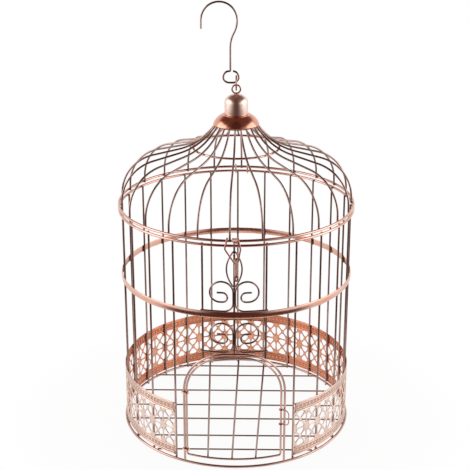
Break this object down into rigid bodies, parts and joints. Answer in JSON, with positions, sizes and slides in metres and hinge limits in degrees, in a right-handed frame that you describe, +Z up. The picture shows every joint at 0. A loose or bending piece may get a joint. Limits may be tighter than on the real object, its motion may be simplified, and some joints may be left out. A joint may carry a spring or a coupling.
{
  "type": "birdcage card box",
  "caption": "Free-standing wire birdcage that holds wedding cards, with a domed lid hinged at the back, a hasp, an arched front door with a turning catch and a hanging hook.",
  "frame": {"origin": "centre of the base ring, on the table it stands on", "axes": "+Z up through the dome, -Y out of the front door, +X to the right as seen from the front"},
  "size_m": [0.2406, 0.2483, 0.4423],
  "materials": {
    "wire": "rose gold plate on round wire",
    "strip": "rose gold plate on flat strip",
    "trim_wire": "rose gold plate on thin bent wire",
    "lace": "rose gold plate on pierced sheet",
    "turned": "rose gold plate, polished",
    "hanger": "rose gold plate on round wire"
  },
  "bodies": {
    "cage": {"base_ring": "wire", "floor_wire_1": "wire", "floor_wire_2": "wire", "floor_wire_3": "wire", "floor_wire_4": "wire", "floor_wire_5": "wire", "floor_wire_6": "wire", "floor_wire_7": "wire", "body_bars": "wire", "front_bar_left": "wire", "front_bar_middle": "wire", "front_bar_right": "wire", "mid_hoop": "strip", "top_ring": "wire", "lace_band": "lace", "door_frame": "wire", "scroll_upper_left": "trim_wire", "scroll_upper_right": "trim_wire", "scroll_lower_left": "trim_wire", "scroll_lower_right": "trim_wire", "leaf": "trim_wire", "latch_peg": "trim_wire", "lid_hinge_left": "trim_wire", "lid_hinge_right": "trim_wire"},
    "lid": {"lid_ring": "wire", "lid_bars": "wire", "crown_ring": "wire", "crown_hub": "turned", "hub_spacer": "turned", "collar": "turned", "finial_cap": "turned", "eye_bolt": "hanger", "bolt_nut": "hanger"},
    "hasp": {"hasp": "trim_wire"},
    "door": {"door_rim": "wire", "door_bar_1": "wire", "door_bar_2": "wire", "door_bar_3": "wire", "door_hinge_low": "trim_wire", "door_hinge_high": "trim_wire"},
    "catch": {"door_catch": "trim_wire"},
    "link": {"link_ring": "hanger"},
    "hook": {"hanging_hook": "hanger"}
  },
  "joints": [
    {"name": "lid_hinge", "type": "hinge", "parent": "cage", "child": "lid", "pos_m": [0.00415, 0.11884, 0.2408], "axis": [-0.9994, 0.0349, 0], "range_deg": [0, 100]},
    {"name": "hasp_swing", "type": "hinge", "parent": "lid", "child": "hasp", "pos_m": [-0.00145, -0.11888, 0.2408], "axis": [-0.9999, 0.0122, 0], "range_deg": [-6, 100]},
    {"name": "door_hinge", "type": "hinge", "parent": "cage", "child": "door", "pos_m": [-0.04945, -0.10802, 0.06], "axis": [0, 0, -1], "range_deg": [0, 110]},
    {"name": "catch_turn", "type": "hinge", "parent": "door", "child": "catch", "pos_m": [0.04597, -0.10955, 0.0525], "axis": [0, 0, -1], "range_deg": [0, 275]},
    {"name": "link_swing", "type": "hinge", "parent": "lid", "child": "link", "pos_m": [0, 0, 0.35523], "axis": [1, 0, 0], "range_deg": [-40, 40]},
    {"name": "hook_swing", "type": "hinge", "parent": "link", "child": "hook", "pos_m": [0, 0, 0.36923], "axis": [0, 1, 0], "range_deg": [-5, 40]}
  ]
}
